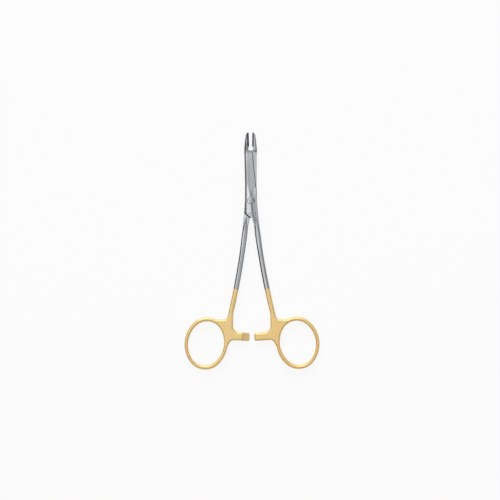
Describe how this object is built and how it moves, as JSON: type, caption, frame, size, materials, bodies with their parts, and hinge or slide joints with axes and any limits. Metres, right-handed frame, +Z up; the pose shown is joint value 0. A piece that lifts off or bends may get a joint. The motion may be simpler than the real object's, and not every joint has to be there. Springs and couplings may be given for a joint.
{
  "type": "surgical needle holder",
  "caption": "Surgical needle holder with scissor blades behind short serrated carbide jaws, a slotted pivot screw, slim shanks, ratchet arms and gold-plated finger rings.",
  "frame": {"origin": "pivot axis at the lowest face of the joint, which the instrument lies on", "axes": "+Y from the pivot to the jaws, +Z up along the pivot axis, +X to the right as seen from above"},
  "size_m": [0.0798, 0.1398, 0.005],
  "materials": {
    "steel": "satin",
    "carbide": "matt",
    "screw_steel": "polished"
  },
  "bodies": {
    "rear": {"rear_half": "steel", "rear_jaw_insert": "carbide", "pivot_screw": "screw_steel"},
    "front": {"front_half": "steel", "front_jaw_insert": "carbide"}
  },
  "joints": [
    {"name": "pivot", "type": "hinge", "parent": "rear", "child": "front", "pos_m": [0, 0, 0.0025], "axis": [0, 0, 1], "range_deg": [-3, 45]}
  ]
}
